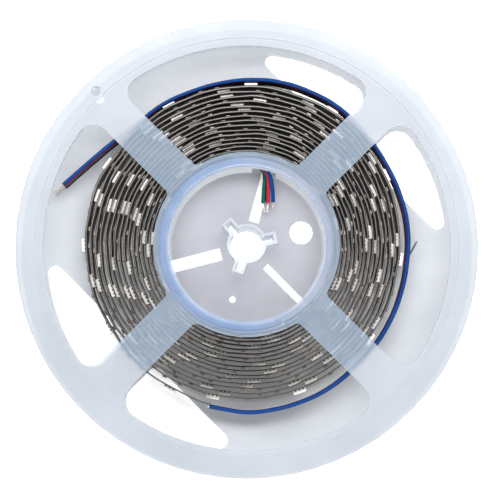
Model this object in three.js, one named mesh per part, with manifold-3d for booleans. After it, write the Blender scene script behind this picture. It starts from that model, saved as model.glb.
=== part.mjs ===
// A plastic reel with a roll of colour-changing LED strip, lying on its rear flange.
// Millimetres, +Z up, the reel's axis is Z. The front flange faces up, the origin is on the axis
// in the plane that the reel lies on, and a strip lead leaves the roll towards -X.
import * as THREE from "three";
import { mergeVertices } from "three/addons/utils/BufferGeometryUtils.js";
import Module from "manifold-3d";

// Flanges and the drum between them
const flangeRadius = 89;
const hubRadius = 31.5;
const flangeWall = 1.4;
const channelWidth = 11;
const rimWidth = 7.5;
const rimRise = 0.4;
const rimChamfer = 0.5;

// Front flange: four windows between four spokes, clear of the rim and of the drum
const windowRimMargin = 3;
const windowHubMargin = 4.5;
const windowOuterRadius = flangeRadius - rimWidth - windowRimMargin;
const windowInnerRadius = hubRadius + windowHubMargin;
const spokeWidth = 14.8;
const outerCornerRadius = 6.5;
const innerCornerRadius = 2.3;

// Rear flange: two pairs of windows, each pair cut off by a straight edge
const rearWindowMargin = 2.5;
const rearWindowDepth = 21.5;
const rearWindowRadius = flangeRadius - rimWidth - rearWindowMargin;
const rearEdgeDistance = rearWindowRadius - rearWindowDepth;
const rearTipRadius = 3;
const beadWidth = 3;
const beadRise = 0.3;

// Locating hole through both rims
const pinRadius = 1.9;
const pinInset = 5;
const pinDistance = flangeRadius - pinInset;
const pinAngle = 134.5;
const pinBossWidth = 1.3;
const pinBossRise = 0.3;

// The drum stands on the rear flange, with a lip that goes up through the front flange
const hubWall = 1.5;
const lipWall = 0.7;
const seam = 0.3;

// Centre hole with its collar and three driving keyways
const arborRadius = 6.5;
const collarWall = 1.2;
const keywayWidth = 2.4;
const keywayReach = 10.6;
const keywayAngles = [12, 132, 252];

// Holes in the web between the collar and the drum
const slotStart = 10.5;
const slotAngles = [75, 194.5, 314.7];
const slotWidths = [4, 4.8, 2.7];
const roundHole = { radius: 4.6, distance: 22.3, angle: 15.4 };
const smallHole = { radius: 1.3, distance: 21.3, angle: 254.8 };

// Opening in the drum through which the inner lead comes out
const leadGateAngle = 77;
const leadGateWidth = 9.5;

// LED strip
const stripLength = 5000;
const stripWidth = 10;
const flexThickness = 0.3;
const turnPitch = 1.68;
const ledCount = 150;
const ledSide = 5;
const ledHeight = 1.2;
const stripEndAngle = 256;
const bulgeAngle = 140;
const bulgeHeight = 1.8;
const solderLength = 2;
const solderWidth = 1.3;
const solderHeight = 0.8;
const padPitch = 2.4;

// Leads: four wires side by side, standing on edge, each with a bare end
const wireDiameter = 1.6;
const wirePitch = 1.9;
const coreDiameter = 0.6;
const wireClearance = 0.15;
const coreGap = 0.32;
const leadRunStep = 9;
const leadRunEnd = 92;
const leadRunClearance = 3;
const leadColours = ["blue", "red", "green", "black"];

// A bit of thin thread that sticks out under the lead
const threadDiameter = 0.66;
const threadClearance = 0.02;

// How finely round shapes are divided
const roundSteps = 64;
const collarSteps = 24;
const holeSteps = 16;
const pinSteps = 16;
const turnSteps = 28;
const wireSides = 8;
const thinSides = 6;
const outerWireSteps = 30;
const innerWireSteps = 26;
const tipSteps = 3;
const arcError = 0.12;

// How far one piece goes into another that it is joined to, and a cut goes past a face
const embed = 0.2;
const cutMargin = 1;

// Heights that follow from the sizes above
const rearBottom = rimRise;
const rearTop = rearBottom + flangeWall;
const frontBottom = rearTop + channelWidth;
const frontTop = frontBottom + flangeWall;
const rimTop = frontTop + rimRise;
const midHeight = rearTop + channelWidth / 2;
const rimInner = flangeRadius - rimWidth;
const hubInner = hubRadius - hubWall;
const lipOuter = hubInner + lipWall;
const openingRadius = lipOuter + seam;

const radians = THREE.MathUtils.degToRad;
const wasm = await Module();
wasm.setup();

// A closed three.js geometry as a solid that can be joined and cut.
function solid(geometry) {
  const bare = geometry.index ? geometry.toNonIndexed() : geometry.clone();
  bare.deleteAttribute("normal");
  bare.deleteAttribute("uv");
  const merged = mergeVertices(bare, 1e-4);
  return new wasm.Manifold(
    new wasm.Mesh({
      numProp: 3,
      vertProperties: merged.attributes.position.array,
      triVerts: new Uint32Array(merged.index.array),
    }),
  );
}

function geometryOf(body) {
  const mesh = body.getMesh();
  const geometry = new THREE.BufferGeometry();
  geometry.setAttribute("position", new THREE.BufferAttribute(mesh.vertProperties, 3));
  geometry.setIndex(new THREE.BufferAttribute(mesh.triVerts, 1));
  geometry.computeVertexNormals();
  return geometry;
}

// A flat outline raised from one height to another.
function raised(shape, bottom, top) {
  const depth = top - bottom;
  const geometry = new THREE.ExtrudeGeometry(shape, { depth, bevelEnabled: false });
  return solid(geometry.translate(0, 0, bottom));
}

function circle(radius, steps = roundSteps) {
  const points = [];
  for (let i = 0; i < steps; i++) {
    const angle = (i / steps) * 2 * Math.PI;
    points.push(new THREE.Vector2(radius * Math.cos(angle), radius * Math.sin(angle)));
  }
  return new THREE.Shape(points);
}

function disc(radius, bottom, top, steps = roundSteps) {
  return raised(circle(radius, steps), bottom, top);
}

// A bar that runs outwards from the axis at an angle in degrees.
function radialBar(angle, start, end, width, bottom, top) {
  const bar = new THREE.BoxGeometry(end - start, width, top - bottom);
  bar.translate((start + end) / 2, 0, (bottom + top) / 2);
  return solid(bar.rotateZ(radians(angle)));
}

// A round post or hole away from the axis.
function roundAt(distance, angle, radius, bottom, top, steps) {
  const x = distance * Math.cos(radians(angle));
  const y = distance * Math.sin(radians(angle));
  return disc(radius, bottom, top, steps).translate(x, y, 0);
}

// Where a corner rounding sits between a spoke's side and a circle about the axis.
function cornerCentre(spokeAngle, side, halfSpoke, corner, distance) {
  const away = Math.asin((halfSpoke + corner) / distance);
  return spokeAngle + side * away;
}

// Points along an arc, close enough together to stay within arcError of it.
function arc(x, y, radius, from, to) {
  const step = 2 * Math.acos(1 - arcError / radius);
  const count = Math.max(3, Math.ceil(Math.abs(to - from) / step));
  const points = [];
  for (let i = 0; i <= count; i++) {
    const angle = from + ((to - from) * i) / count;
    points.push(new THREE.Vector2(x + radius * Math.cos(angle), y + radius * Math.sin(angle)));
  }
  return points;
}

// A corner rounding whose centre is given by an angle and a distance from the axis.
function corner(centreAngle, distance, radius, from, to) {
  const x = distance * Math.cos(centreAngle);
  const y = distance * Math.sin(centreAngle);
  return arc(x, y, radius, from, to);
}

// One front window: two arcs about the axis, the sides of two spokes and four round corners.
function frontWindow(firstSpoke) {
  const half = spokeWidth / 2;
  const spokeA = radians(firstSpoke);
  const spokeB = spokeA + Math.PI / 2;
  const outer = windowOuterRadius - outerCornerRadius;
  const inner = windowInnerRadius + innerCornerRadius;
  const outerA = cornerCentre(spokeA, 1, half, outerCornerRadius, outer);
  const outerB = cornerCentre(spokeB, -1, half, outerCornerRadius, outer);
  const innerA = cornerCentre(spokeA, 1, half, innerCornerRadius, inner);
  const innerB = cornerCentre(spokeB, -1, half, innerCornerRadius, inner);
  return new THREE.Shape([
    ...corner(outerA, outer, outerCornerRadius, spokeA - Math.PI / 2, outerA),
    ...arc(0, 0, windowOuterRadius, outerA, outerB).slice(1, -1),
    ...corner(outerB, outer, outerCornerRadius, outerB, spokeB + Math.PI / 2),
    ...corner(innerB, inner, innerCornerRadius, spokeB + Math.PI / 2, innerB + Math.PI),
    ...arc(0, 0, windowInnerRadius, innerB, innerA).slice(1, -1),
    ...corner(innerA, inner, innerCornerRadius, innerA + Math.PI, spokeA + 1.5 * Math.PI),
  ]);
}

// One rear window, drawn beside a spoke that points along +X, and made larger by grow.
function rearWindow(grow) {
  const half = spokeWidth / 2 - grow;
  const edge = rearEdgeDistance - grow;
  const radius = rearWindowRadius + grow;
  const round = outerCornerRadius + grow;
  const tip = rearTipRadius + grow;
  const outer = radius - round;
  const spokeCorner = cornerCentre(0, 1, half, round, outer);
  const tipX = edge + tip;
  const tipY = Math.sqrt((radius - tip) ** 2 - tipX ** 2);
  const tipAngle = Math.atan2(tipY, tipX);
  return new THREE.Shape([
    ...corner(spokeCorner, outer, round, -Math.PI / 2, spokeCorner),
    ...arc(0, 0, radius, spokeCorner, tipAngle).slice(1, -1),
    ...arc(tipX, tipY, tip, tipAngle, Math.PI),
    ...arc(tipX, half + tip, tip, Math.PI, 1.5 * Math.PI),
  ]);
}

// The two pairs of rear windows as solids, beside the spokes at 45 and 225 degrees.
function rearWindows(grow, bottom, top) {
  const one = raised(rearWindow(grow), bottom, top);
  const pair = one.add(one.mirror([0, 1, 0]));
  return pair.rotate([0, 0, 45]).add(pair.rotate([0, 0, 225]));
}

// A closed outline of [radius, height] corners turned about the axis.
function turned(profile) {
  const points = profile.map(([r, z]) => new THREE.Vector2(r, z));
  const lathe = new THREE.LatheGeometry([...points, points[0]], roundSteps);
  return solid(lathe.rotateX(Math.PI / 2));
}

// The thick outer edge of a flange, from its inner step round to the other face.
function rimCorners(bottom, top) {
  return [
    [flangeRadius - rimChamfer, bottom],
    [flangeRadius, bottom + rimChamfer],
    [flangeRadius, top - rimChamfer],
    [flangeRadius - rimChamfer, top],
  ];
}

function frontFlange() {
  let plate = turned([
    [openingRadius, frontBottom],
    ...rimCorners(frontBottom, rimTop),
    [rimInner, rimTop],
    [rimInner, frontTop],
    [openingRadius, frontTop],
  ]);
  const below = frontBottom - cutMargin;
  for (let spoke = 45; spoke < 360; spoke += 90) {
    plate = plate.subtract(raised(frontWindow(spoke), below, rimTop + cutMargin));
  }
  const bossTop = rimTop + pinBossRise;
  const boss = pinRadius + pinBossWidth;
  plate = plate.add(roundAt(pinDistance, pinAngle, boss, frontTop, bossTop, pinSteps));
  const holeTop = bossTop + cutMargin;
  return plate.subtract(roundAt(pinDistance, pinAngle, pinRadius, 0, holeTop, pinSteps));
}

// The collar's outline or its hole: a round with three lobes.
function keyedRound(grow, bottom, top) {
  let body = disc(arborRadius + grow, bottom, top, collarSteps);
  for (const angle of keywayAngles) {
    const width = keywayWidth + 2 * grow;
    body = body.add(radialBar(angle, 0, keywayReach + grow, width, bottom, top));
  }
  return body;
}

function rearFlange() {
  const below = -cutMargin;
  const above = rearTop + cutMargin;
  const gateTop = midHeight + 2 * wirePitch;
  const gateReach = hubRadius + cutMargin;
  const shoulder = frontBottom - seam;
  let body = turned([
    [0, rearBottom],
    [rimInner, rearBottom],
    [rimInner, 0],
    ...rimCorners(0, rearTop),
    [hubRadius, rearTop],
    [hubRadius, shoulder],
    [lipOuter, shoulder],
    [lipOuter, frontTop],
    [hubInner, frontTop],
    [hubInner, rearTop],
    [0, rearTop],
  ]);
  body = body.add(rearWindows(beadWidth, rearBottom - beadRise, rearBottom + embed));
  body = body.subtract(rearWindows(0, below, above));
  slotAngles.forEach((angle, i) => {
    const width = slotWidths[i];
    const slot = radialBar(angle, slotStart, hubRadius, width, below, rearTop + embed);
    const notch = radialBar(angle, slotStart, gateReach, width, rearTop, gateTop);
    body = body.subtract(slot).subtract(notch);
  });
  const gate = radialBar(leadGateAngle, slotStart, gateReach, leadGateWidth, rearTop, gateTop);
  body = body.subtract(gate);
  body = body.add(keyedRound(collarWall, rearBottom, frontTop));
  body = body.subtract(keyedRound(0, below, frontTop + cutMargin));
  for (const hole of [roundHole, smallHole]) {
    const cut = roundAt(hole.distance, hole.angle, hole.radius, below, above, holeSteps);
    body = body.subtract(cut);
  }
  return body.subtract(roundAt(pinDistance, pinAngle, pinRadius, below, above, pinSteps));
}

// The roll is a spiral. Its start follows from the strip's length, so that its outer end
// comes to stripEndAngle. The inner lead lies on the drum under the first turn, and the strip
// starts a little inside that layer, where there is no lead.
const leadLayer = hubRadius + wireDiameter + 2 * wireClearance;
const startInset = 0.28;
const startRadius = leadLayer - startInset * turnPitch;
const endRadius = Math.sqrt(startRadius ** 2 + (turnPitch * stripLength) / Math.PI);
const sweep = ((endRadius - startRadius) / turnPitch) * 2 * Math.PI;
const startAngle = radians(stripEndAngle) - sweep;

// A point of the spiral. The roll isn't quite round: the further out a turn lies, the more it
// stands out on the side of bulgeAngle.
function spiralPoint(angle, lift) {
  const share = (angle - startAngle) / sweep;
  const side = Math.abs(Math.cos((angle - radians(bulgeAngle)) / 2)) ** 3;
  const radius = startRadius + share * (endRadius - startRadius + bulgeHeight * side) + lift;
  return new THREE.Vector2(radius * Math.cos(angle), radius * Math.sin(angle));
}

// A block that stands on the strip's outer face, on the straight stretch at an angle.
function blockOnStrip(angle, length, width, height, z) {
  const step = (2 * Math.PI) / turnSteps;
  const index = Math.floor((angle - startAngle) / step);
  const from = startAngle + index * step;
  const a = spiralPoint(from, flexThickness);
  const b = spiralPoint(Math.min(from + step, startAngle + sweep), flexThickness);
  const chord = a.distanceTo(b);
  const wanted = (chord * (angle - from)) / step;
  const room = length / 2 + embed;
  const along = chord > 2 * room ? THREE.MathUtils.clamp(wanted, room, chord - room) : chord / 2;
  const centre = a.clone().lerp(b, along / chord);
  const block = new THREE.BoxGeometry(length, height + embed / 2, width);
  block.translate(0, -(height - embed / 2) / 2, z);
  block.rotateZ(Math.atan2(b.y - a.y, b.x - a.x));
  return solid(block.translate(centre.x, centre.y, 0));
}

function ledStrip() {
  const inside = [];
  const outside = [];
  const step = (2 * Math.PI) / turnSteps;
  for (let angle = startAngle; angle < startAngle + sweep; angle += step) {
    inside.push(spiralPoint(angle, 0));
    outside.push(spiralPoint(angle, flexThickness));
  }
  inside.push(spiralPoint(startAngle + sweep, 0));
  outside.push(spiralPoint(startAngle + sweep, flexThickness));
  const outline = new THREE.Shape(outside.concat(inside.reverse()));
  let strip = raised(outline, midHeight - stripWidth / 2, midHeight + stripWidth / 2);
  const ledPitch = stripLength / ledCount;
  for (let i = 0; i < ledCount; i++) {
    const along = (i + 0.5) * ledPitch;
    const radius = Math.sqrt(startRadius ** 2 + (turnPitch * along) / Math.PI);
    const angle = startAngle + ((radius - startRadius) / turnPitch) * 2 * Math.PI;
    strip = strip.add(blockOnStrip(angle, ledSide, ledSide, ledHeight, midHeight));
  }
  const first = startAngle + solderLength / 2 / startRadius;
  const last = startAngle + sweep - solderLength / 2 / endRadius;
  for (let pad = -1.5; pad < 2; pad++) {
    const z = midHeight + pad * padPitch;
    strip = strip.add(blockOnStrip(first, solderLength, solderWidth, solderHeight, z));
    strip = strip.add(blockOnStrip(last, solderLength, solderWidth, solderHeight, z));
  }
  return strip;
}

const part = new THREE.Group();
const colours = { blue: 0x1450a0, red: 0xb0262c, green: 0x145a46, black: 0x16161a };

function addMesh(name, geometry, color, roughness, metalness = 0) {
  const material = new THREE.MeshStandardMaterial({ color, roughness, metalness });
  const mesh = new THREE.Mesh(geometry, material);
  mesh.name = name;
  part.add(mesh);
}

addMesh("front_flange", geometryOf(frontFlange()), 0xd8e0e8, 0.35);
addMesh("rear_flange", geometryOf(rearFlange()), 0xd0d6dc, 0.35);
addMesh("led_strip", geometryOf(ledStrip()), 0xe8e2d4, 0.5);

// Heights of the four wires in a lead that stands on edge, the blue one highest.
const stack = leadColours.map((name, i) => midHeight + (1.5 - i) * wirePitch);

// A round wire through a list of points.
function wire(points, diameter, steps, sides = wireSides) {
  const curve = new THREE.CatmullRomCurve3(points.map((p) => new THREE.Vector3(...p)));
  const section = circle(diameter / 2, sides);
  return new THREE.ExtrudeGeometry(section, { extrudePath: curve, steps, bevelEnabled: false });
}

// The bare end of a wire: a thin straight piece past the insulation, then a bend.
function bareTip(end, [x1, y1, x2, y2]) {
  const away = Math.hypot(x1 - end[0], y1 - end[1]);
  const start = end.map((value, axis) => {
    const target = [x1, y1, end[2]][axis];
    return value + ((target - value) * coreGap) / away;
  });
  return wire([start, [x1, y1, end[2]], [x2, y2, end[2]]], coreDiameter, tipSteps, thinSides);
}

// The outer lead's route: x, y and how far the lead has sunk towards the rear flange.
const outerRoute = [
  [-14.3, -62.1, 0],
  [-7.0, -63.5, 0],
  [0.6, -64.4, 0],
  [10.0, -63.4, 0],
  [19.7, -60.8, 0],
  [29.9, -56.2, 0],
  [39.4, -49.2, 0],
  [48.2, -40.2, 0],
  [55.0, -30.0, 0],
  [59.7, -18.4, 0],
  [62.2, -6.0, 0],
  [62.6, 6.5, 0],
  [60.1, 18.9, 0],
  [54.8, 31.3, 0],
  [46.8, 43.5, 0],
  [36.7, 54.1, 0],
  [24.7, 61.0, 0],
  [13.4, 64.7, 0],
  [2.0, 65.7, 0],
  [-9.8, 64.4, 0],
  [-21.3, 61.1, 0],
  [-32.8, 55.9, 0.2],
  [-42.9, 48.2, 0.5],
  [-53.4, 40.1, 1.0],
  [-63.1, 31.8, 1.5],
  [-71.9, 23.9, 1.8],
];
const outerCores = [
  [-74.3, 22.1, -75.7, 20.9],
  [-73.9, 21.5, -75.1, 19.9],
  [-73.8, 21.7, -75.0, 20.4],
  [-74.2, 21.9, -75.3, 20.7],
];

leadColours.forEach((name, i) => {
  const route = outerRoute.map(([x, y, sink]) => [x, y, stack[i] - sink]);
  const insulation = wire(route, wireDiameter, outerWireSteps);
  addMesh("outer_wire_" + name, insulation, colours[name], 0.45);
  addMesh("outer_core_" + name, bareTip(route.at(-1), outerCores[i]), 0x9a958c, 0.35, 0.9);
});

// The inner lead runs along the drum, through the gate in its wall and down into the hub.
const layRadius = hubRadius + wireClearance + wireDiameter / 2;
const stripStart = THREE.MathUtils.euclideanModulo(THREE.MathUtils.radToDeg(startAngle), 360);
const innerRun = [];
for (let angle = stripStart - leadRunClearance; angle >= leadRunEnd; angle -= leadRunStep) {
  innerRun.push([layRadius * Math.cos(radians(angle)), layRadius * Math.sin(radians(angle))]);
}
const innerTail = {
  blue: [[3.0, 32.3, 0], [6.6, 30.8, 0], [9.0, 27.6, 1.2], [10.1, 22.6, 3.4], [10.4, 17.7, 5.2]],
  red: [[3.0, 32.3, 0], [6.4, 30.7, 0], [8.2, 27.6, 0.9], [8.5, 22.6, 2.4], [8.4, 17.4, 3.7]],
  green: [[3.0, 32.3, 0], [6.1, 30.6, 0], [7.0, 27.6, 0.6], [6.7, 22.6, 1.5], [6.4, 17.3, 2.2]],
  black: [[3.0, 32.3, 0], [6.2, 30.6, 0], [7.6, 27.6, 0.7], [7.7, 22.6, 1.5], [7.6, 18.2, 1.8]],
};
const innerCores = {
  blue: [10.3, 16.4, 10.1, 15.2],
  red: [8.2, 15.6, 7.8, 13.6],
  green: [6.6, 15.4, 7.0, 13.8],
  black: [7.6, 16.6, 7.5, 15.0],
};

leadColours.forEach((name, i) => {
  const run = innerRun.map(([x, y]) => [x, y, stack[i]]);
  const tail = innerTail[name].map(([x, y, sink]) => [x, y, stack[i] - sink]);
  const insulation = wire(run.concat(tail), wireDiameter, innerWireSteps);
  addMesh("inner_wire_" + name, insulation, colours[name], 0.45);
  addMesh("inner_core_" + name, bareTip(tail.at(-1), innerCores[name]), 0x9a958c, 0.35, 0.9);
});

const threadHeight = rearTop + threadDiameter / 2 + threadClearance;
const threadRoute = [
  [62.3, -6.4, threadHeight],
  [64.5, -2.4, threadHeight],
  [67.1, 2.2, threadHeight],
];
addMesh("thread_end", wire(threadRoute, threadDiameter, tipSteps, thinSides), 0x4a4a54, 0.7);

export default part;
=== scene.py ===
# %% [markdown]
# This lesson dresses a reel of LED strip light. A maker of such a reel moulds two milky
# plastic flanges, winds five metres of flexible strip between them, and leaves a lead of four
# wires at each end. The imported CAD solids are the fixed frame: everything made here is in
# metres, stands where they stand, and rides on them.

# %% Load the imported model
import math

import bmesh
import bpy
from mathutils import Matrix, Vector


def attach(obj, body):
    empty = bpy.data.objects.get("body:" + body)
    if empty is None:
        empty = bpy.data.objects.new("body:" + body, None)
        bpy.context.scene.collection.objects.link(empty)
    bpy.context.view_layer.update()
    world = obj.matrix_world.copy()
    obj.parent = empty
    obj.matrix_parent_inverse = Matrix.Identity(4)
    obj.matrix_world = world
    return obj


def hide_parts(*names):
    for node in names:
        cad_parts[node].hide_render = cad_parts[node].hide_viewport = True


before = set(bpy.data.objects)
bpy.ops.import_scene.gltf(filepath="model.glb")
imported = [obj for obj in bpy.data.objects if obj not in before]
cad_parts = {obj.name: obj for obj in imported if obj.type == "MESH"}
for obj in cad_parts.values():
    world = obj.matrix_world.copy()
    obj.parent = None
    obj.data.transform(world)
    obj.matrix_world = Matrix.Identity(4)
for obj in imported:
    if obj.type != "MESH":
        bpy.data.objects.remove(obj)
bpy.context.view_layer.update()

# %% [markdown]
# The photograph looks down on the reel from a little to the near side. The camera stands
# where the circles of the two flanges line up as they do there, and a small shift of its lens
# puts the reel where the picture has it.

# %% Camera
MM = 0.001
front_face = 14.2 * MM
view_tilt = math.radians(7.37)
view_distance = 456 * MM
view_width = 192.2 * MM

lens = bpy.data.cameras.new("camera")
lens.sensor_width = 36
lens.lens = lens.sensor_width * view_distance / view_width
lens.shift_x = 0.0065
lens.shift_y = -0.0132
lens.clip_start = 0.01
lens.clip_end = 20
camera = bpy.data.objects.new("camera", lens)
away = Vector((0, -math.sin(view_tilt), math.cos(view_tilt)))
camera.location = Vector((0, 0, front_face)) + view_distance * away
camera.rotation_euler = (view_tilt, 0, 0)
bpy.context.scene.collection.objects.link(camera)
bpy.context.scene.camera = camera
print("camera at", [round(v, 4) for v in camera.location], "lens", round(lens.lens, 1))

# %% [markdown]
# Each lead is four insulated wires side by side, standing on edge like the strip, with the
# blue one highest. A wire is a curve with a round section, because a curve keeps its own
# centre line and can be checked for length. The outer lead lies round the roll from the
# strip's soldered end to its free end at the upper left. The points are those of the CAD.

# %% Heights of the four wires
lead_colours = ("blue", "red", "green", "black")
mid_height = 7.3
wire_diameter = 1.6
wire_pitch = 1.9
middle_row = (len(lead_colours) - 1) / 2
stack = [mid_height + (middle_row - row) * wire_pitch for row in range(len(lead_colours))]
print("wire heights in mm", [round(z, 2) for z in stack])

# %% Helpers for curves
def place(points):
    return [Vector(point) * MM for point in points]

def make_wire(name, points, diameter, resolution=6):
    curve = bpy.data.curves.new(name, "CURVE")
    curve.dimensions = "3D"
    curve.resolution_u = resolution
    curve.bevel_depth = diameter / 2 * MM
    curve.bevel_resolution = 4
    curve.use_fill_caps = True
    spline = curve.splines.new("BEZIER")
    spline.bezier_points.add(len(points) - 1)
    for knot, where in zip(spline.bezier_points, place(points)):
        knot.co = where
        knot.handle_left_type = "AUTO"
        knot.handle_right_type = "AUTO"
    made = bpy.data.objects.new(name, curve)
    bpy.context.scene.collection.objects.link(made)
    return made

def length_of(points):
    return sum((b - a).length for a, b in zip(points, points[1:]))

ten_mm = place([(0, 0, 0), (10, 0, 0)])
print("ten millimetres in metres", round(length_of(ten_mm), 4))

# %% The outer lead's route: x, y and how far the lead has sunk
outer_route = [
    (-14.3, -62.1, 0), (-7.0, -63.5, 0), (0.6, -64.4, 0), (10.0, -63.4, 0),
    (19.7, -60.8, 0), (29.9, -56.2, 0), (39.4, -49.2, 0), (48.2, -40.2, 0),
    (55.0, -30.0, 0), (59.7, -18.4, 0), (62.2, -6.0, 0), (62.6, 6.5, 0),
    (60.1, 18.9, 0), (54.8, 31.3, 0), (46.8, 43.5, 0), (36.7, 54.1, 0),
    (24.7, 61.0, 0), (13.4, 64.7, 0), (2.0, 65.7, 0), (-9.8, 64.4, 0),
    (-21.3, 61.1, 0), (-32.8, 55.9, 0.2), (-42.9, 48.2, 0.5), (-53.4, 40.1, 1.0),
    (-63.1, 31.8, 1.5), (-71.9, 23.9, 1.8),
]
outer_tips = {
    "blue": ((-74.3, 22.1), (-75.7, 20.9)),
    "red": ((-73.9, 21.5), (-75.1, 19.9)),
    "green": ((-73.8, 21.7), (-75.0, 20.4)),
    "black": ((-74.2, 21.9), (-75.3, 20.7)),
}

routes = {}
for colour, height in zip(lead_colours, stack):
    routes["outer_" + colour] = [(x, y, height - sink) for x, y, sink in outer_route]
print("outer lead in m", round(length_of(place(routes["outer_blue"])), 4))

# %% [markdown]
# The inner lead lies on the drum under the first turn of the strip, goes through a gate in
# the drum's wall and drops into the hub, where its four bare ends show.

# %% The inner lead's route
lay_radius = 32.45
strip_start = 296.66
joint_angle = 3
lead_run_start = strip_start - joint_angle
lead_run_end = 92
lead_run_step = 9
inner_tails = {
    "blue": [
        (3.0, 32.3, 0), (6.6, 30.8, 0), (9.0, 27.6, 1.2), (10.1, 22.6, 3.4), (10.4, 17.7, 5.2),
    ],
    "red": [
        (3.0, 32.3, 0), (6.4, 30.7, 0), (8.2, 27.6, 0.9), (8.5, 22.6, 2.4), (8.4, 17.4, 3.7),
    ],
    "green": [
        (3.0, 32.3, 0), (6.1, 30.6, 0), (7.0, 27.6, 0.6), (6.7, 22.6, 1.5), (6.4, 17.3, 2.2),
    ],
    "black": [
        (3.0, 32.3, 0), (6.2, 30.6, 0), (7.6, 27.6, 0.7), (7.7, 22.6, 1.5), (7.6, 18.2, 1.8),
    ],
}
inner_tips = {
    "blue": ((10.3, 16.4), (10.1, 15.2)),
    "red": ((8.2, 15.6), (7.8, 13.6)),
    "green": ((6.6, 15.4), (7.0, 13.8)),
    "black": ((7.6, 16.6), (7.5, 15.0)),
}

steps = int((lead_run_start - lead_run_end) / lead_run_step) + 1
run_angles = [math.radians(lead_run_start - lead_run_step * i) for i in range(steps)]
inner_run = [(lay_radius * math.cos(a), lay_radius * math.sin(a)) for a in run_angles]
for colour, height in zip(lead_colours, stack):
    run = [(x, y, height) for x, y in inner_run]
    tail = [(x, y, height - sink) for x, y, sink in inner_tails[colour]]
    routes["inner_" + colour] = run + tail
print("inner lead in m", round(length_of(place(routes["inner_blue"])), 4))

# %% [markdown]
# Most finishes here need the same two effects. Moulded and printed surfaces have a fine grain,
# which changes how sharply they shine and gives them a little relief. They also have faint
# clouds, where the colour drifts between two near tones. Each effect is a node group with
# named inputs, so that every material can use it with its own sizes.

# %% Helpers for node trees
def add(tree, kind, **settings):
    node = tree.nodes.new(kind)
    for name, value in settings.items():
        setattr(node, name, value)
    return node

def link(tree, source, target):
    tree.links.new(source, target)

def group(name, inputs, outputs):
    tree = bpy.data.node_groups.new(name, "ShaderNodeTree")
    for label, kind, value in inputs:
        socket = tree.interface.new_socket(label, in_out="INPUT", socket_type=kind)
        if value is not None:
            socket.default_value = value
    for label, kind in outputs:
        tree.interface.new_socket(label, in_out="OUTPUT", socket_type=kind)
    return tree, add(tree, "NodeGroupInput"), add(tree, "NodeGroupOutput")

def use(tree, grouped, **values):
    node = add(tree, "ShaderNodeGroup", node_tree=grouped)
    for label, value in values.items():
        node.inputs[label.replace("_", " ")].default_value = value
    return node
print("node groups before", len(bpy.data.node_groups))

# %% The fine grain
FLOAT = "NodeSocketFloat"
COLOR = "NodeSocketColor"
VECTOR = "NodeSocketVector"

grain, taken, given = group(
    "fine grain",
    [("Vector", VECTOR, None), ("Scale", FLOAT, 900), ("Low", FLOAT, 0.3), ("High", FLOAT, 0.5)],
    [("Roughness", FLOAT), ("Height", FLOAT)],
)
speckle = add(grain, "ShaderNodeTexNoise")
speckle.inputs["Detail"].default_value = 3
spread = add(grain, "ShaderNodeMapRange")
spread.inputs["From Min"].default_value = 0.3
spread.inputs["From Max"].default_value = 0.7
link(grain, taken.outputs["Vector"], speckle.inputs["Vector"])
link(grain, taken.outputs["Scale"], speckle.inputs["Scale"])
link(grain, speckle.outputs["Fac"], spread.inputs["Value"])
link(grain, taken.outputs["Low"], spread.inputs["To Min"])
link(grain, taken.outputs["High"], spread.inputs["To Max"])
link(grain, spread.outputs["Result"], given.inputs["Roughness"])
link(grain, speckle.outputs["Fac"], given.inputs["Height"])
print("grain is", grain.name, "with", len(grain.nodes), "nodes")

# %% The faint clouds
clouds, taken, given = group(
    "faint clouds",
    [
        ("Vector", VECTOR, None), ("Scale", FLOAT, 60),
        ("First", COLOR, None), ("Second", COLOR, None),
    ],
    [("Color", COLOR), ("Mask", FLOAT)],
)
drift = add(clouds, "ShaderNodeTexNoise")
drift.inputs["Detail"].default_value = 2
spread = add(clouds, "ShaderNodeMapRange")
spread.inputs["From Min"].default_value = 0.35
spread.inputs["From Max"].default_value = 0.65
blend = add(clouds, "ShaderNodeMix", data_type="RGBA")
link(clouds, taken.outputs["Vector"], drift.inputs["Vector"])
link(clouds, taken.outputs["Scale"], drift.inputs["Scale"])
link(clouds, drift.outputs["Fac"], spread.inputs["Value"])
link(clouds, spread.outputs["Result"], blend.inputs["Factor"])
link(clouds, taken.outputs["First"], blend.inputs["A"])
link(clouds, taken.outputs["Second"], blend.inputs["B"])
link(clouds, blend.outputs["Result"], given.inputs["Color"])
link(clouds, spread.outputs["Result"], given.inputs["Mask"])
print("node groups", [tree.name for tree in bpy.data.node_groups])

# %% A finish with clouds and grain
relief_distance = 0.1 * MM

def finish_material(name, first, second, low, high, metal=0.0, cloud=60, shine=0.5):
    made = bpy.data.materials.new(name)
    made.use_nodes = True
    tree = made.node_tree
    shader = tree.nodes["Principled BSDF"]
    shader.inputs["Metallic"].default_value = metal
    shader.inputs["Specular IOR Level"].default_value = shine
    where = add(tree, "ShaderNodeTexCoord")
    colour = use(tree, clouds, Scale=cloud, First=(*first, 1), Second=(*second, 1))
    link(tree, where.outputs["Object"], colour.inputs["Vector"])
    link(tree, colour.outputs["Color"], shader.inputs["Base Color"])
    grained(tree, 900, low, high)
    return made

def grained(tree, scale, low, high):
    shader = tree.nodes["Principled BSDF"]
    where = tree.nodes["Texture Coordinate"]
    surface = use(tree, grain, Scale=scale, Low=low, High=high)
    bump = add(tree, "ShaderNodeBump")
    bump.inputs["Strength"].default_value = 0.05
    bump.inputs["Distance"].default_value = relief_distance
    link(tree, where.outputs["Object"], surface.inputs["Vector"])
    link(tree, surface.outputs["Roughness"], shader.inputs["Roughness"])
    link(tree, surface.outputs["Height"], bump.inputs["Height"])
    link(tree, bump.outputs["Normal"], shader.inputs["Normal"])

print("relief of the grain in mm", relief_distance / MM)

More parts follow.
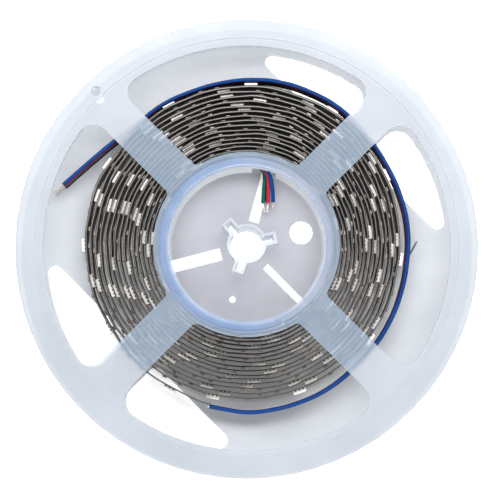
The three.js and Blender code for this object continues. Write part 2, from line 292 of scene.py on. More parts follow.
# %% [markdown]
# Wire insulation is soft coloured vinyl: smooth, a little glossy, and slightly uneven where it
# was pulled. The bare ends are thin tinned strands, twisted and splayed by the cutter. Each
# strand is a curve of its own, because a rod with a bump would show no loose tips.

# %% Vinyl and tinned copper
def vinyl(name, first, second):
    return finish_material(name, first, second, 0.35, 0.5, cloud=150, shine=0.12)

insulation = {
    "blue": vinyl("blue_vinyl", (0.001, 0.034, 0.165), (0.002, 0.042, 0.20)),
    "red": vinyl("red_vinyl", (0.30, 0.014, 0.03), (0.38, 0.02, 0.04)),
    "green": vinyl("green_vinyl", (0.003, 0.075, 0.05), (0.006, 0.10, 0.066)),
    "black": vinyl("black_vinyl", (0.006, 0.006, 0.007), (0.012, 0.012, 0.014)),
}
tinned = finish_material(
    "tinned_strands", (0.42, 0.39, 0.35), (0.62, 0.60, 0.57), 0.25, 0.45, 0.9, 700)
print("wire finishes", [material.name for material in insulation.values()], tinned.name)

# %% Helpers that turn curves into meshes
def to_mesh(made):
    evaluated = made.evaluated_get(bpy.context.evaluated_depsgraph_get())
    mesh = bpy.data.meshes.new_from_object(evaluated)
    name = made.name
    bpy.data.objects.remove(made)
    result = bpy.data.objects.new(name, mesh)
    bpy.context.scene.collection.objects.link(result)
    return result

def join(name, parts):
    mesh = bpy.data.meshes.new(name)
    whole = bmesh.new()
    for part in parts:
        whole.from_mesh(part.data)
        bpy.data.objects.remove(part)
    whole.to_mesh(mesh)
    whole.free()
    result = bpy.data.objects.new(name, mesh)
    bpy.context.scene.collection.objects.link(result)
    return result

print("meshes before", len(bpy.data.meshes))

# %% Bare strands
strand_count = 7
strand_diameter = 0.2
strand_ring = 0.2
strand_splay = 1.6
strand_knots = 8
strand_twist = 2.2
up = Vector((0, 0, 1))

def bare_strands(name, end, tip, height):
    bends = [Vector((x, y, height)) for x, y in (end[:2], *tip)]
    ahead = (bends[2] - bends[0]).normalized()
    side = Vector((-ahead.y, ahead.x, 0))
    parts = []
    for strand in range(strand_count):
        turn = 2 * math.pi * strand / (strand_count - 1)
        ring = 0 if strand == 0 else strand_ring
        points = []
        for knot in range(strand_knots):
            t = knot / (strand_knots - 1)
            middle = bends[0].lerp(bends[1], t).lerp(bends[1].lerp(bends[2], t), t)
            angle = turn + strand_twist * t
            out = ring * (1 + (strand_splay - 1) * t * t)
            points.append(middle + out * (math.cos(angle) * side + math.sin(angle) * up))
        strand_wire = make_wire("strand", points, strand_diameter, 2)
        strand_wire.data.bevel_resolution = 1
        parts.append(to_mesh(strand_wire))
    made = join(name, parts)
    made.data.materials.append(tinned)
    return made

print("strands in an end", strand_count)

# %% [markdown]
# Each wire takes the place of its solid, and so does each bare end.

for (name, points) in routes.items():
    side, colour = name.split("_")
    wire = make_wire(side + "_lead_" + colour, points, wire_diameter)
    wire.data.materials.append(insulation[colour])
    tips = outer_tips if side == "outer" else inner_tips
    strands = bare_strands(side + "_strands_" + colour, points[-1], tips[colour], points[-1][2])
    for piece, node in ((wire, side + "_wire_" + colour), (strands, side + "_core_" + colour)):
        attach(piece, "root")
        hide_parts(node)

# %% [markdown]
# The strip is a flexible printed circuit under a black lacquer. Its back carries a pale cream tape,
# which is painted dark brown-grey as the shade it lies in deep between the turns, and only a cream
# margin along both edges keeps its own colour. The margin is a rule on the height above the
# circuit's middle, so it is made in the material and needs no faces.

# %% Finishes of the strip
circuit_black = finish_material(
    "circuit_black", (0.005, 0.005, 0.006), (0.012, 0.012, 0.013), 0.45, 0.6, shine=0.12)
# The backing's dark brown-grey tones are painted shade: the pale back as it looks deep in the gaps
# between turns.
backing = finish_material(
    "backing", (0.18, 0.152, 0.14), (0.28, 0.24, 0.225), 0.5, 0.7, cloud=300, shine=0.15)
package_white = finish_material(
    "package_white", (0.92, 0.90, 0.86), (0.96, 0.95, 0.92), 0.35, 0.5, cloud=900)
lens_clear = finish_material(
    "lens_clear", (0.50, 0.49, 0.44), (0.62, 0.61, 0.55), 0.08, 0.15, cloud=900)
pad_copper = finish_material(
    "pad_copper", (0.60, 0.36, 0.20), (0.72, 0.47, 0.30), 0.25, 0.4, 0.9)
solder_tin = finish_material(
    "solder_tin", (0.50, 0.50, 0.49), (0.66, 0.66, 0.65), 0.15, 0.3, 0.95)
# The legs' tin, also used on the resistor ends, is painted dark: painted shade at the foot of each
# package.
leg_tin = finish_material("leg_tin", (0.10, 0.09, 0.08), (0.2, 0.19, 0.17), 0.3, 0.5, 0.9)
resistor_black = finish_material(
    "resistor_black", (0.015, 0.015, 0.017), (0.03, 0.03, 0.03), 0.3, 0.5)
print("materials so far", len(bpy.data.materials))

# %% Helpers for sums and blends in a tree
def feed(tree, socket, value):
    if isinstance(value, bpy.types.NodeSocket):
        tree.links.new(value, socket)
    elif value is not None:
        socket.default_value = value

def calc(tree, operation, a, b=None, clamp=False):
    node = add(tree, "ShaderNodeMath", operation=operation, use_clamp=clamp)
    feed(tree, node.inputs[0], a)
    feed(tree, node.inputs[1], b)
    return node.outputs[0]

def remap(tree, value, from_low, from_high, to_low, to_high, kind="LINEAR"):
    node = add(tree, "ShaderNodeMapRange", interpolation_type=kind)
    feed(tree, node.inputs["Value"], value)
    feed(tree, node.inputs["From Min"], from_low)
    feed(tree, node.inputs["From Max"], from_high)
    feed(tree, node.inputs["To Min"], to_low)
    feed(tree, node.inputs["To Max"], to_high)
    return node.outputs["Result"]

def tone(tree, scale, first, second):
    made = use(tree, clouds, Scale=scale, First=(*first, 1), Second=(*second, 1))
    link(tree, tree.nodes["Texture Coordinate"].outputs["Object"], made.inputs["Vector"])
    return made.outputs["Color"]

def mixed(tree, share, a, b):
    node = add(tree, "ShaderNodeMix", data_type="RGBA")
    feed(tree, node.inputs["Factor"], share)
    feed(tree, node.inputs["A"], a)
    feed(tree, node.inputs["B"], b)
    return node.outputs["Result"]

def split(tree, output):
    node = add(tree, "ShaderNodeSeparateXYZ")
    link(tree, tree.nodes["Texture Coordinate"].outputs[output], node.inputs["Vector"])
    return node.outputs

print("nodes in the backing before", len(backing.node_tree.nodes))

# %% The cream margins of the backing
margin_start = 3.5
margin_blur = 0.1
upright_below = 0.5

tree = backing.node_tree
shader = tree.nodes["Principled BSDF"]
above_middle = calc(tree, "SUBTRACT", split(tree, "Object")["Z"], mid_height * MM)
off_middle = calc(tree, "ABSOLUTE", above_middle)
margin = remap(tree, off_middle, margin_start * MM, (margin_start + margin_blur) * MM, 0, 1)
upright_face = calc(tree, "LESS_THAN", split(tree, "Normal")["Z"], upright_below)
on_the_face = calc(tree, "MULTIPLY", margin, upright_face)
# Below the margins the back keeps the painted shade of its dark brown-grey tones.
shaded_back = shader.inputs["Base Color"].links[0].from_socket
cream = tone(tree, 200, (0.90, 0.88, 0.85), (0.96, 0.95, 0.92))
link(tree, mixed(tree, on_the_face, shaded_back, cream), shader.inputs["Base Color"])
print("nodes in the backing", len(tree.nodes))

# %% [markdown]
# An LED package is a white box with a round clear lens sunk in its face and three tinned legs
# on each side. It is drawn once from plain boxes and a ring, with few faces, because the strip
# carries about 150 of them. Outward is -Y, along the strip is X, and up is Z.

# %% Helpers for drawn pieces
def box_into(mesh, low, high):
    made = bmesh.ops.create_cube(mesh, size=1)
    middle = (Vector(low) + Vector(high)) / 2
    size = Vector(high) - Vector(low)
    for vertex in made["verts"]:
        vertex.co = Vector([middle[i] + vertex.co[i] * size[i] for i in range(3)]) * MM
    return made["verts"]

def draw(name, build, materials):
    mesh = bmesh.new()
    build(mesh)
    data = bpy.data.meshes.new(name)
    mesh.to_mesh(data)
    mesh.free()
    for material in materials:
        data.materials.append(material)
    made = bpy.data.objects.new(name, data)
    bpy.context.scene.collection.objects.link(made)
    return made

# %% One LED package's legs
led_size = 5.0
led_leg_width = 0.8
led_leg_pitch = 1.6
led_leg_reach = 0.15
led_leg_height = 0.5

def legs_into(mesh):
    half = led_size / 2
    for side in (-1, 1):
        low, high = sorted((side * half, side * (half + led_leg_reach)))
        for row in (-1, 0, 1):
            left = row * led_leg_pitch - led_leg_width / 2
            right = row * led_leg_pitch + led_leg_width / 2
            leg = box_into(mesh, (left, -led_leg_height, low), (right, 0, high))
            for face in {face for v in leg for face in v.link_faces}:
                face.material_index = 2

print("legs reach past the package by", led_leg_reach, "mm")

# %% The package and its lens
led_depth = 1.55
led_lens_radius = 2.0
led_lens_sides = 16
led_lens_sink = 0.12
led_bevel = 0.25

def median_y(face):
    return face.calc_center_median().y

def led_into(mesh):
    half = led_size / 2
    verts = box_into(mesh, (-half, -led_depth, -half), (half, 0, half))
    front = min({face for v in verts for face in v.link_faces}, key=median_y)
    bmesh.ops.bevel(
        mesh, geom=list(front.edges), offset=led_bevel * MM, segments=1, affect="EDGES")
    front = min(mesh.faces, key=median_y)
    ring = []
    for i in range(led_lens_sides):
        a = 2 * math.pi * i / led_lens_sides
        where = Vector((led_lens_radius * math.cos(a), -led_depth, led_lens_radius * math.sin(a)))
        ring.append(mesh.verts.new(where * MM))
    ring_edges = [mesh.edges.new((a, b)) for a, b in zip(ring, ring[1:] + ring[:1])]
    outline = list(front.edges)
    bmesh.ops.delete(mesh, geom=[front], context="FACES_ONLY")
    bmesh.ops.triangle_fill(mesh, edges=outline + ring_edges, use_beauty=True)
    for face in [f for f in mesh.faces if all(v in ring for v in f.verts)]:
        mesh.faces.remove(face)
    floor_ring = [mesh.verts.new(v.co + Vector((0, led_lens_sink * MM, 0))) for v in ring]
    for i in range(led_lens_sides):
        j = (i + 1) % led_lens_sides
        mesh.faces.new((ring[i], ring[j], floor_ring[j], floor_ring[i]))
    lens_face = mesh.faces.new(floor_ring)
    lens_face.material_index = 1
    legs_into(mesh)
    bmesh.ops.recalc_face_normals(mesh, faces=mesh.faces)

led_package = draw("led_package", led_into, [package_white, lens_clear, leg_tin])
print("faces of one LED", len(led_package.data.polygons))

# %% [markdown]
# A pair of chip resistors sits in each gap between two LEDs, and after every third LED there is
# a cutting line with four copper pads on each side of it, one for each wire.

# %% A resistor and the copper pads of a cutting line
resistor_size = (1.6, 0.65, 3.2)
resistor_end = 0.5
pad_size = (1.8, 0.04, 1.4)
pad_gap = 0.3
pad_pitch = 2.4

def resistor_into(mesh):
    x, y, z = resistor_size[0] / 2, resistor_size[1], resistor_size[2] / 2
    body = z - resistor_end
    for low, high, index in ((-z, -body, 1), (-body, body, 0), (body, z, 1)):
        corners = box_into(mesh, (-x, -y, low), (x, 0, high))
        for face in {f for v in corners for f in v.link_faces}:
            face.material_index = index

def pads_into(mesh):
    for row in range(len(lead_colours)):
        z = (middle_row - row) * pad_pitch
        for side in (-1, 1):
            near, far = sorted((side * pad_gap / 2, side * (pad_gap / 2 + pad_size[0])))
            low, high = z - pad_size[2] / 2, z + pad_size[2] / 2
            box_into(mesh, (near, -pad_size[1], low), (far, 0, high))

resistor = draw("resistor", resistor_into, [resistor_black, leg_tin])
cut_pads = draw("cut_pads", pads_into, [pad_copper])
print("faces", len(resistor.data.polygons), "and", len(cut_pads.data.polygons))

# %% [markdown]
# The strip is wound by Geometry Nodes, because a winding is a rule with a few numbers. A spiral
# runs along the middle of the circuit layer. A wound strip never lies perfectly round. Its
# inner turns are drawn tight and its outer ones are slack, so the middle of the roll is drawn
# in. The outer turns stand out further on the upper left and beside the upper right window.
# Slow waves that repeat from turn to turn move the strip in and out, and every turn wavers a
# little on its own.

# %% Helpers for Geometry Nodes
def geometry_tree(name, inputs):
    tree = bpy.data.node_groups.new(name, "GeometryNodeTree")
    names = {}
    for label, kind, value in inputs:
        socket = tree.interface.new_socket(label, in_out="INPUT", socket_type=kind)
        if value is not None:
            socket.default_value = value
        names[label] = socket.identifier
    tree.interface.new_socket("Geometry", in_out="OUTPUT", socket_type="NodeSocketGeometry")
    return tree, add(tree, "NodeGroupInput"), add(tree, "NodeGroupOutput"), names

def made_by(name, tree, names, values):
    holder = bpy.data.objects.new(name, bpy.data.meshes.new(name))
    bpy.context.scene.collection.objects.link(holder)
    modifier = holder.modifiers.new("nodes", "NODES")
    modifier.node_group = tree
    for label, value in values.items():
        modifier[names[label]] = value
    return to_mesh(holder)

print("trees before", len(bpy.data.node_groups))

# %% The winding and its sizes
strip_turns = 16.89
strip_start_radius = 33.12
strip_end_radius = 60.5
led_pitches = 149.28
wave_high = 0.45
waver_high = 0.42
bulge_height = 2.64
shoulder_height = 1.7
end_height = 1.6
drawn_in = 0.96

winding_sizes = {
    "Turns": strip_turns,
    "Start Radius": strip_start_radius * MM,
    "End Radius": strip_end_radius * MM,
    "Start Angle": math.radians(strip_start),
    "Wave Height": wave_high * MM,
    "Waver Height": waver_high * MM,
    "Bulge Height": bulge_height * MM,
    "Shoulder Height": shoulder_height * MM,
    "End Height": end_height * MM,
    "Drawn In": drawn_in * MM,
    "Pitches": led_pitches,
}
winding, taken, given, winding_inputs = geometry_tree(
    "winding", [(label, FLOAT, value) for label, value in winding_sizes.items()])
print("inputs of the winding", list(winding_inputs))

# %% Its curve
spiral = add(winding, "GeometryNodeCurveSpiral")
steps_a_turn = 160
spiral.inputs["Resolution"].default_value = steps_a_turn
spiral.inputs["Height"].default_value = 0
spiral.inputs["Reverse"].default_value = True
link(winding, taken.outputs["Turns"], spiral.inputs["Rotations"])
link(winding, taken.outputs["Start Radius"], spiral.inputs["Start Radius"])
link(winding, taken.outputs["End Radius"], spiral.inputs["End Radius"])
turned = add(winding, "GeometryNodeTransform")
spin = add(winding, "ShaderNodeCombineXYZ")
link(winding, taken.outputs["Start Angle"], spin.inputs["Z"])
link(winding, spin.outputs["Vector"], turned.inputs["Rotation"])
turned.inputs["Translation"].default_value = (0, 0, mid_height * MM)
link(winding, spiral.outputs["Curve"], turned.inputs["Geometry"])
print("steps in a turn", steps_a_turn)

# %% Where each point of the curve is
step_number = add(winding, "GeometryNodeSplineParameter").outputs["Index"]
turn_now = calc(winding, "DIVIDE", step_number, steps_a_turn)
factor = calc(winding, "DIVIDE", turn_now, taken.outputs["Turns"])
position = add(winding, "GeometryNodeInputPosition").outputs["Position"]
flat = add(winding, "ShaderNodeVectorMath", operation="MULTIPLY")
flat.inputs[1].default_value = (1, 1, 0)
link(winding, position, flat.inputs[0])
outward = add(winding, "ShaderNodeVectorMath", operation="NORMALIZE")
link(winding, flat.outputs["Vector"], outward.inputs[0])
parts = add(winding, "ShaderNodeSeparateXYZ")
link(winding, outward.outputs["Vector"], parts.inputs["Vector"])
print("nodes in the winding", len(winding.nodes))

# %% Waves and wavers
wave_low = 0.12
wave_length = 16
wave_change = 0.03
waver_length = 11
waver_change = 0.6
mean_radius = 46
noise_middle = 0.5
noise_gain = 4
share = remap(winding, factor, 0, 1, wave_low / wave_high, 1)

def product(*values):
    result = values[0]
    for value in values[1:]:
        result = calc(winding, "MULTIPLY", result, value)
    return result

def swaying(length, change, height):
    around = add(winding, "ShaderNodeCombineXYZ")
    link(winding, parts.outputs["X"], around.inputs["X"])
    link(winding, parts.outputs["Y"], around.inputs["Y"])
    link(winding, product(turn_now, change), around.inputs["Z"])
    wave = add(winding, "ShaderNodeTexNoise")
    wave.inputs["Scale"].default_value = mean_radius / length
    wave.inputs["Detail"].default_value = 1
    link(winding, around.outputs["Vector"], wave.inputs["Vector"])
    swing = calc(winding, "SUBTRACT", wave.outputs["Fac"], noise_middle)
    return product(swing, noise_gain, share, height)

waves = swaying(wave_length, wave_change, taken.outputs["Wave Height"])
waver = swaying(waver_length, waver_change, taken.outputs["Waver Height"])
print("waves of", wave_length, "mm and wavers of", waver_length, "mm")

# %% Bulges, the slack end and the sag
bulge_way, bulge_power = 140, 1.5
shoulder_way, shoulder_power = 66, 10
slack_end_turns = 0.12
parabola_gain = 4

def standing_out(angle, power, height):
    towards = add(winding, "ShaderNodeVectorMath", operation="DOT_PRODUCT")
    way = math.radians(angle)
    towards.inputs[1].default_value = (math.cos(way), math.sin(way), 0)
    link(winding, outward.outputs["Vector"], towards.inputs[0])
    side = calc(winding, "POWER", remap(winding, towards.outputs["Value"], -1, 1, 0, 1), power)
    return product(side, factor, height)

bulge = standing_out(bulge_way, bulge_power, taken.outputs["Bulge Height"])
shoulder = standing_out(shoulder_way, shoulder_power, taken.outputs["Shoulder Height"])
turns = taken.outputs["Turns"]
last = calc(winding, "SUBTRACT", turns, slack_end_turns)
end = remap(winding, turn_now, last, turns, 0, taken.outputs["End Height"], "SMOOTHSTEP")
still_to_go = calc(winding, "SUBTRACT", 1, factor)
sag = product(factor, still_to_go, parabola_gain, taken.outputs["Drawn In"])
print("the slack end takes", slack_end_turns, "of a turn")

# %% Move the curve and stand it upright
moved = add(winding, "GeometryNodeSetPosition")
offset = add(winding, "ShaderNodeVectorMath", operation="SCALE")
link(winding, outward.outputs["Vector"], offset.inputs[0])
lift = calc(winding, "SUBTRACT", calc(winding, "ADD", waves, waver), sag)
for part in (bulge, shoulder, end):
    lift = calc(winding, "ADD", lift, part)
link(winding, lift, offset.inputs["Scale"])
link(winding, turned.outputs["Geometry"], moved.inputs["Geometry"])
link(winding, offset.outputs["Vector"], moved.inputs["Offset"])
upright = add(winding, "GeometryNodeSetCurveNormal", mode="Z_UP")
link(winding, moved.outputs["Geometry"], upright.inputs["Curve"])
print("nodes in the winding", len(winding.nodes))

# %% [markdown]
# The curve is given two flat sections side by side, the tape within and the circuit without.
# They are shaded flat, so that the margins on the upright faces end sharply at the edge.

# %% Its two layers
strip_width = 10.0
circuit_thickness = 0.28
tape_thickness = 0.08
joined = add(winding, "GeometryNodeJoinGeometry")

def layer(inner, thickness, material):
    section = add(winding, "GeometryNodeCurvePrimitiveQuadrilateral")
    section.inputs["Width"].default_value = thickness * MM
    section.inputs["Height"].default_value = strip_width * MM
    aside = add(winding, "GeometryNodeTransform")
    aside.inputs["Translation"].default_value = ((inner + thickness / 2) * MM, 0, 0)
    body = add(winding, "GeometryNodeCurveToMesh")
    body.inputs["Fill Caps"].default_value = True
    painted = add(winding, "GeometryNodeSetMaterial")
    painted.inputs["Material"].default_value = material
    link(winding, section.outputs["Curve"], aside.inputs["Geometry"])
    link(winding, upright.outputs["Curve"], body.inputs["Curve"])
    link(winding, aside.outputs["Geometry"], body.inputs["Profile Curve"])
    flat_faced = add(winding, "GeometryNodeSetShadeSmooth")
    flat_faced.inputs["Shade Smooth"].default_value = False
    link(winding, body.outputs["Mesh"], flat_faced.inputs["Geometry"])
    link(winding, flat_faced.outputs["Geometry"], painted.inputs["Geometry"])
    link(winding, painted.outputs["Geometry"], joined.inputs["Geometry"])

outer_face = (circuit_thickness + tape_thickness) / 2
layer(-outer_face, tape_thickness, backing)
layer(tape_thickness - outer_face, circuit_thickness, circuit_black)
print("the strip is", round(circuit_thickness + tape_thickness, 2), "mm thick")

# %% [markdown]
# The LEDs, resistors and pads are instances on points that are counted back along the strip
# from its soldered outer end, where the first LED is seen. Counted by length, they stay evenly
# spaced however the strip waves.

# %% What is soldered along it
resistor_aside = 3.3
resistor_height = 1.4
count_slack = 0.02

total = add(winding, "GeometryNodeCurveLength")
link(winding, upright.outputs["Curve"], total.inputs["Curve"])
length = total.outputs["Length"]
pitch = calc(winding, "DIVIDE", length, taken.outputs["Pitches"])

def points_along(first, step):
    row = add(winding, "GeometryNodeMeshLine")
    room = calc(winding, "SUBTRACT", taken.outputs["Pitches"], first)
    count = calc(winding, "SUBTRACT", calc(winding, "DIVIDE", room, step), count_slack)
    link(winding, calc(winding, "CEIL", count), row.inputs["Count"])
    index = add(winding, "GeometryNodeInputIndex").outputs["Index"]
    reach = calc(winding, "ADD", product(index, step), first)
    here = add(winding, "GeometryNodeSampleCurve", mode="LENGTH")
    link(winding, upright.outputs["Curve"], here.inputs["Curves"])
    place_on_it = calc(winding, "SUBTRACT", length, product(reach, pitch))
    link(winding, place_on_it, here.inputs["Length"])
    placed = add(winding, "GeometryNodeSetPosition")
    link(winding, row.outputs["Mesh"], placed.inputs["Geometry"])
    link(winding, here.outputs["Position"], placed.inputs["Position"])
    return placed.outputs["Geometry"], here.outputs["Tangent"]

def along(piece, first, step, aside=0, height=0):
    points, tangent = points_along(first, step)
    facing = add(winding, "FunctionNodeAxesToRotation", primary_axis="X", secondary_axis="Z")
    facing.inputs["Secondary Axis"].default_value = (0, 0, 1)
    link(winding, tangent, facing.inputs["Primary Axis"])
    shape = add(winding, "GeometryNodeObjectInfo")
    shape.inputs["Object"].default_value = piece
    outwards = add(winding, "GeometryNodeTransform")
    outwards.inputs["Translation"].default_value = (aside * MM, -outer_face * MM, height * MM)
    link(winding, shape.outputs["Geometry"], outwards.inputs["Geometry"])
    copies = add(winding, "GeometryNodeInstanceOnPoints")
    link(winding, points, copies.inputs["Points"])
    link(winding, outwards.outputs["Geometry"], copies.inputs["Instance"])
    link(winding, facing.outputs["Rotation"], copies.inputs["Rotation"])
    link(winding, copies.outputs["Instances"], joined.inputs["Geometry"])

along(led_package, first=0.5, step=1)
along(cut_pads, first=3, step=3)
for aside in (-resistor_aside, resistor_aside):
    along(resistor, first=1, step=1, aside=aside, height=resistor_height)
real = add(winding, "GeometryNodeRealizeInstances")
link(winding, joined.outputs["Geometry"], real.inputs["Geometry"])
link(winding, real.outputs["Geometry"], given.inputs["Geometry"])
print("nodes in the winding", len(winding.nodes))

# %% Wind it
wound = made_by("wound_strip", winding, winding_inputs, winding_sizes)
for drawn in (led_package, cut_pads, resistor):
    bpy.data.objects.remove(drawn)
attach(wound, "root")
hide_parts("led_strip")
print("strip faces", len(wound.data.polygons), [m.name for m in wound.data.materials])
spread_r = [math.hypot(v.co.x, v.co.y) / MM for v in wound.data.vertices]
print("strip radii in mm", round(min(spread_r), 2), round(max(spread_r), 2))

# %% [markdown]
# At each end of the strip the four wires are soldered to the circuit. A joint is a small
# flattened drop of solder between the wire's end and the strip, so a ball of few faces is
# stretched along the wire and laid at each wire's height.

# %% Solder joints
joint_size = (2.4, 1.0, 1.3)
outer_heading = math.atan2(-1.4, 7.3)
inner_heading = math.radians(lead_run_start + 90)

def joints_at(name, start, heading):
    mesh = bmesh.new()
    for height in stack:
        drop = bmesh.ops.create_icosphere(mesh, subdivisions=2, radius=0.5)["verts"]
        for vertex in drop:
            x, y, z = (vertex.co[i] * joint_size[i] for i in range(3))
            turned_x = x * math.cos(heading) - y * math.sin(heading)
            turned_y = x * math.sin(heading) + y * math.cos(heading)
            vertex.co = Vector((start[0] + turned_x, start[1] + turned_y, height + z)) * MM
    data = bpy.data.meshes.new(name)
    mesh.to_mesh(data)
    mesh.free()
    data.shade_smooth()
    data.materials.append(solder_tin)
    joints = bpy.data.objects.new(name, data)
    bpy.context.scene.collection.objects.link(joints)
    return joints

for joints in (
    joints_at("outer_joints", routes["outer_blue"][0], outer_heading),
    joints_at("inner_joints", routes["inner_blue"][0], inner_heading),
):
    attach(joints, "root")
    print(joints.name, "faces", len(joints.data.polygons))

# %% [markdown]
# The flanges are thin milky plastic. What lies behind them shows faintly, so a face that looks
# at the viewer lets about a quarter through, and more where it lies close over the roll, while
# a face seen from its back adds nothing. The edges, where one looks along the sheet, are nearly
# solid and brighter, and the window and hub edges are painted near white as a highlight. Light
# that only passes on its way to the strip is let through more freely, because milky plastic
# spreads light and doesn't stop it. Beside the plastic's own colour, the tones carry painted
# light and shade: the front is painted darker and bluer over the roll, where less light comes
# through from behind, and the drum's ring darker and bluer on its left; the rear flange is
# painted darker than the front as shade, lighter under the roll to make up for the roll's
# shadow, and darkest on the web in the shade of the drum's wall. All of that follows the
# distance from the axis and the height, so masks on them choose the tones.

# %% Milky plastic: how far out and how high
edge_below, face_above = 0.3, 0.9
rear_top, front_foot = 5.0, 6.0

milky = bpy.data.materials.new("milky_plastic")
milky.use_nodes = True
tree = milky.node_tree
shader = tree.nodes["Principled BSDF"]
add(tree, "ShaderNodeTexCoord")
spots = split(tree, "Object")
squares = [calc(tree, "POWER", spots[axis], 2) for axis in "XY"]
radius = calc(tree, "SQRT", calc(tree, "ADD", *squares))
upwards = calc(tree, "ABSOLUTE", split(tree, "Normal")["Z"])
flatness = remap(tree, upwards, edge_below, face_above, 0, 1)
high = remap(tree, spots["Z"], rear_top * MM, front_foot * MM, 0, 1)
print("nodes in the plastic", len(tree.nodes))

# %% Milky plastic: the zones, in mm from the axis
web_edge = (29.0, 30.5)
ring_rise, ring_fall = (29.5, 30.5), (33.5, 35.5)
roll_rise, roll_fall = (32.5, 34.0), (61.0, 64.0)
beneath_fall = (57.5, 60.0)
window_rise, window_fall = (28.0, 28.5), (80.0, 82.0)
rim_rise = (80.5, 81.5)

def step_up(bounds, low=0, high=1, kind="SMOOTHSTEP"):
    return remap(tree, radius, bounds[0] * MM, bounds[1] * MM, low, high, kind)

def band(rise, fall):
    return calc(tree, "MULTIPLY", step_up(rise), step_up(fall, 1, 0))

over = band(roll_rise, roll_fall)
under_roll = band(roll_rise, beneath_fall)
ring = band(ring_rise, ring_fall)
web = step_up(web_edge, 1, 0)
window_edge_highlight = band(window_rise, window_fall)
print("nodes in the plastic", len(tree.nodes))

# %% Milky plastic: the ring is painted darker, and bluer on its left
blue_from, blue_to = (-2.2, -1.6), (1.4, 2.0)
blue_share = (0.5, 0.95)
way = calc(tree, "ARCTAN2", spots["Y"], calc(tree, "MULTIPLY", spots["X"], -1))
leftward = calc(
    tree, "MULTIPLY", remap(tree, way, *blue_from, 0, 1), remap(tree, way, *blue_to, 1, 0))
leftward = remap(tree, leftward, 0, 1, *blue_share)
# The ring's darker grey and its blue on the left are painted light and shade.
grey_ring = tone(tree, 90, (0.31, 0.32, 0.35), (0.35, 0.36, 0.39))
blue_ring = tone(tree, 90, (0.17, 0.27, 0.45), (0.22, 0.31, 0.50))
ring_light_and_shade = mixed(tree, leftward, grey_ring, blue_ring)
print("share of blue on the ring", blue_share)

# %% Milky plastic: the tones of the two flanges
front_plain = tone(tree, 45, (0.385, 0.42, 0.47), (0.42, 0.455, 0.505))
# Over the roll the front is painted darker and bluer: painted shade where less light comes through
# from behind.
front_over_roll_shade = tone(tree, 80, (0.25, 0.335, 0.44), (0.29, 0.375, 0.48))
front = mixed(tree, ring, mixed(tree, over, front_plain, front_over_roll_shade), ring_light_and_shade)
# The rear flange is the same plastic, painted darker than the front: painted shade in the channel
# between the flanges.
rear_tone_and_shade = tone(tree, 45, (0.30, 0.325, 0.365), (0.34, 0.365, 0.405))
# Under the roll the rear flange is painted much lighter: painted light that makes up for the roll's
# shadow.
rear_lit_under_roll = tone(tree, 70, (0.82, 0.80, 0.79), (0.88, 0.86, 0.85))
# The web is painted darkest: painted shade from the drum's wall.
web_shade = tone(tree, 40, (0.16, 0.17, 0.21), (0.19, 0.20, 0.24))
rear = mixed(tree, web, mixed(tree, under_roll, rear_tone_and_shade, rear_lit_under_roll), web_shade)
# The window and hub edges are painted near white: a painted highlight. The outer edges keep a
# plainer tone.
edge_tone_and_highlight = mixed(tree, window_edge_highlight, (0.50, 0.54, 0.60, 1), (0.84, 0.87, 0.90, 1))
tint = mixed(tree, flatness, edge_tone_and_highlight, mixed(tree, high, rear, front))
link(tree, tint, shader.inputs["Base Color"])
grained(tree, 1400, 0.40, 0.52)
print("nodes in the plastic", len(tree.nodes))

# %% Milky plastic: how much it covers
plain_cover, roll_cover = 0.78, 0.57
rim_cover = 0.14
edge_cover = 0.92
shadow_loss = 0.6

thin = remap(tree, over, 0, 1, plain_cover, roll_cover)
thin = calc(tree, "ADD", thin, step_up(rim_rise, 0, rim_cover, "LINEAR"))
solid = remap(tree, flatness, 0, 1, edge_cover, thin)
shadow = add(tree, "ShaderNodeLightPath").outputs["Is Shadow Ray"]
passing = calc(tree, "SUBTRACT", 1, calc(tree, "MULTIPLY", shadow, shadow_loss))
back = add(tree, "ShaderNodeNewGeometry")
front_only = calc(tree, "SUBTRACT", 1, back.outputs["Backfacing"])
shown = calc(tree, "MULTIPLY", calc(tree, "MULTIPLY", solid, passing), front_only)
link(tree, shown, shader.inputs["Alpha"])
for name in ("front_flange", "rear_flange"):
    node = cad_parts[name]
    node.data.materials.clear()
    node.data.materials.append(milky)
    print(name, "is", node.data.materials[0].name)

# %% [markdown]
# The loose end of sewing thread at the right is two plies twisted together. Each ply is a thin
# curve that turns round the thread's middle line, half a turn from the other.

# %% Thread
thread_points = [(62.3, -6.4, 2.15), (64.5, -2.4, 2.15), (67.1, 2.2, 2.15)]
thread_diameter = 0.66
ply_diameter = 0.36
ply_knots = 24
ply_turns = 5
thread_grey = finish_material(
    "thread_grey", (0.05, 0.06, 0.09), (0.10, 0.115, 0.16), 0.6, 0.8, cloud=2000)

def thread_at(t):
    a, b, c = (Vector(p) for p in thread_points)
    return a.lerp(b, 2 * t) if t < 0.5 else b.lerp(c, 2 * t - 1)

across = (thread_at(1) - thread_at(0)).normalized().cross(up)
out = (thread_diameter - ply_diameter) / 2
plies = []
for ply in range(2):
    points = []
    for knot in range(ply_knots):
        t = knot / (ply_knots - 1)
        angle = math.pi * ply + 2 * math.pi * ply_turns * t
        points.append(thread_at(t) + out * (math.cos(angle) * across + math.sin(angle) * up))
    ply_wire = make_wire("ply", points, ply_diameter, 3)
    ply_wire.data.bevel_resolution = 1
    plies.append(to_mesh(ply_wire))
thread = join("loose_thread", plies)
thread.data.materials.append(thread_grey)
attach(thread, "root")
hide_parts("thread_end")
print("thread faces", len(thread.data.polygons))

# %% [markdown]
# The reel lies on a white sheet under a dim sky and two long soft lamps. The first hangs a
# little beyond the reel. Because it is long from left to right, it shines down between the
# turns at the top and bottom of the roll, and only on their upper edges at the sides. The
# second stands on the near side and lights the cream margins, which face it at the top of the
# roll. The sheet glows a little where it is looked at, directly or in a reflection, so that it
# comes out pure white and still takes the reel's soft shadow. The sky is white in the same way.

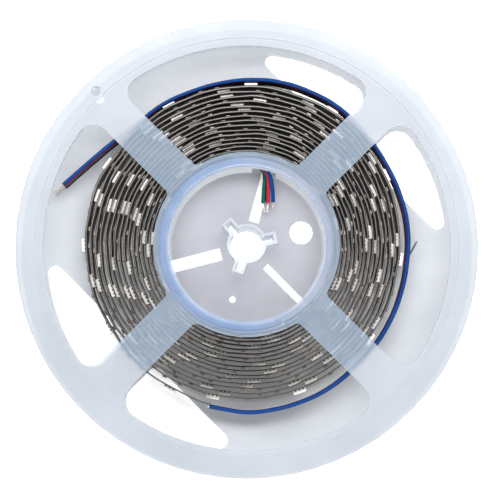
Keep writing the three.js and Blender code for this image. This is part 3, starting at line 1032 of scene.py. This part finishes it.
# %% Sheet
sheet_gap = 0.3 * MM
sheet_reach = 3
sheet_glow = 0.35

def seen_rays(tree):
    ray = add(tree, "ShaderNodeLightPath").outputs
    mirrored = calc(tree, "MAXIMUM", ray["Is Glossy Ray"], ray["Is Transmission Ray"])
    return calc(tree, "MAXIMUM", ray["Is Camera Ray"], mirrored)

white_sheet = bpy.data.materials.new("white_sheet")
white_sheet.use_nodes = True
tree = white_sheet.node_tree
shader = tree.nodes["Principled BSDF"]
paper = add(tree, "ShaderNodeTexNoise")
paper.inputs["Scale"].default_value = 30
where = add(tree, "ShaderNodeTexCoord")
link(tree, where.outputs["Object"], paper.inputs["Vector"])
link(tree, remap(tree, paper.outputs["Fac"], 0, 1, 0.6, 0.8), shader.inputs["Roughness"])
shader.inputs["Base Color"].default_value = (0.9, 0.9, 0.9, 1)
shader.inputs["Emission Color"].default_value = (1, 1, 1, 1)
glow = calc(tree, "MULTIPLY", seen_rays(tree), sheet_glow)
link(tree, glow, shader.inputs["Emission Strength"])

sheet_mesh = bpy.data.meshes.new("sheet")
corners = [(x * sheet_reach, y * sheet_reach, 0) for x, y in ((-1, -1), (1, -1), (1, 1), (-1, 1))]
sheet_mesh.from_pydata(corners, [], [(0, 1, 2, 3)])
sheet = bpy.data.objects.new("sheet", sheet_mesh)
sheet_mesh.materials.append(white_sheet)
sheet.location.z = -sheet_gap
bpy.context.scene.collection.objects.link(sheet)
print("the sheet is", 2 * sheet_reach, "m wide")

# %% Sky
sky_light = 0.16
sky = bpy.data.worlds.new("sky")
sky.use_nodes = True
bpy.context.scene.world = sky
tree = sky.node_tree
background = tree.nodes["Background"]
background.inputs["Color"].default_value = (1, 1, 1, 1)
link(tree, remap(tree, seen_rays(tree), 0, 1, sky_light, 1), background.inputs["Strength"])
print("the sky lights the reel at", sky_light)

# %% Lamps
def lamp(name, location, width, depth, power):
    data = bpy.data.lights.new(name, "AREA")
    data.shape = "RECTANGLE"
    data.size = width
    data.size_y = depth
    data.energy = power
    made = bpy.data.objects.new(name, data)
    made.location = location
    made.rotation_euler = (Vector((0, 0, 0)) - Vector(location)).to_track_quat("-Z", "Y").to_euler()
    bpy.context.scene.collection.objects.link(made)
    return made

over_lamp = lamp("over", (0.03, 0.26, 0.6), width=1.0, depth=0.19, power=6.5)
front_lamp = lamp("front", (0, -0.75, 0.65), width=1.2, depth=0.3, power=7.5)
scene = bpy.context.scene
scene.view_settings.view_transform = "Standard"
print("lamps in W", over_lamp.data.energy, front_lamp.data.energy)
